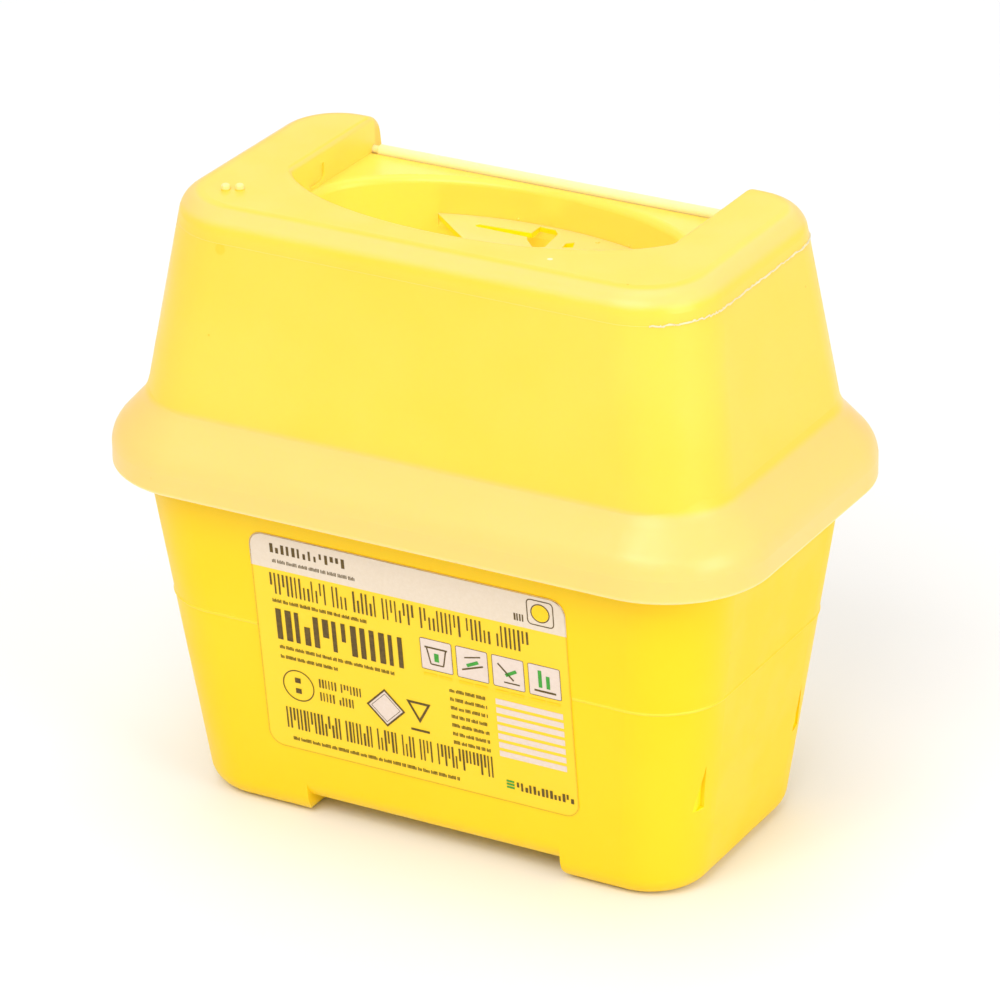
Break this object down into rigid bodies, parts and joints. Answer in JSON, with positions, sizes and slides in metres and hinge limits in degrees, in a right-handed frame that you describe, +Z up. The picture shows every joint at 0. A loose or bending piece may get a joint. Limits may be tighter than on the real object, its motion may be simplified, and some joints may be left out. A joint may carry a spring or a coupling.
{
  "type": "sharps container",
  "caption": "Tapered yellow bin with a raised translucent lid, an oval mouth with a keyhole needle remover, and a hinged closure flap",
  "frame": {"origin": "middle of the object's footprint box on the surface that it stands on, with the flap hanging open; the container's own centre line is 3 mm towards -Y from it", "axes": "+X along the wide side, to the right as seen from the label; the label faces -Y and the hinge is at +Y; +Z up"},
  "size_m": [0.199, 0.127, 0.1816],
  "materials": {
    "bin_plastic": "opaque yellow polypropylene, satin moulded surface",
    "lid_plastic": "translucent pale yellow polypropylene, satin",
    "flap_plastic": "translucent pale yellow polypropylene, satin",
    "remover_plastic": "translucent pale yellow polypropylene, satin",
    "label_film": "printed self-adhesive film"
  },
  "bodies": {
    "container": {"container_bin": "bin_plastic", "lid": "lid_plastic", "needle_remover": "remover_plastic", "front_label": "label_film"},
    "flap": {"closure_flap": "flap_plastic"}
  },
  "joints": [
    {"name": "flap_hinge", "type": "hinge", "parent": "container", "child": "flap", "pos_m": [0, 0.03499, 0.1701], "axis": [1, 0, 0], "range_deg": [0, 248.2]}
  ]
}
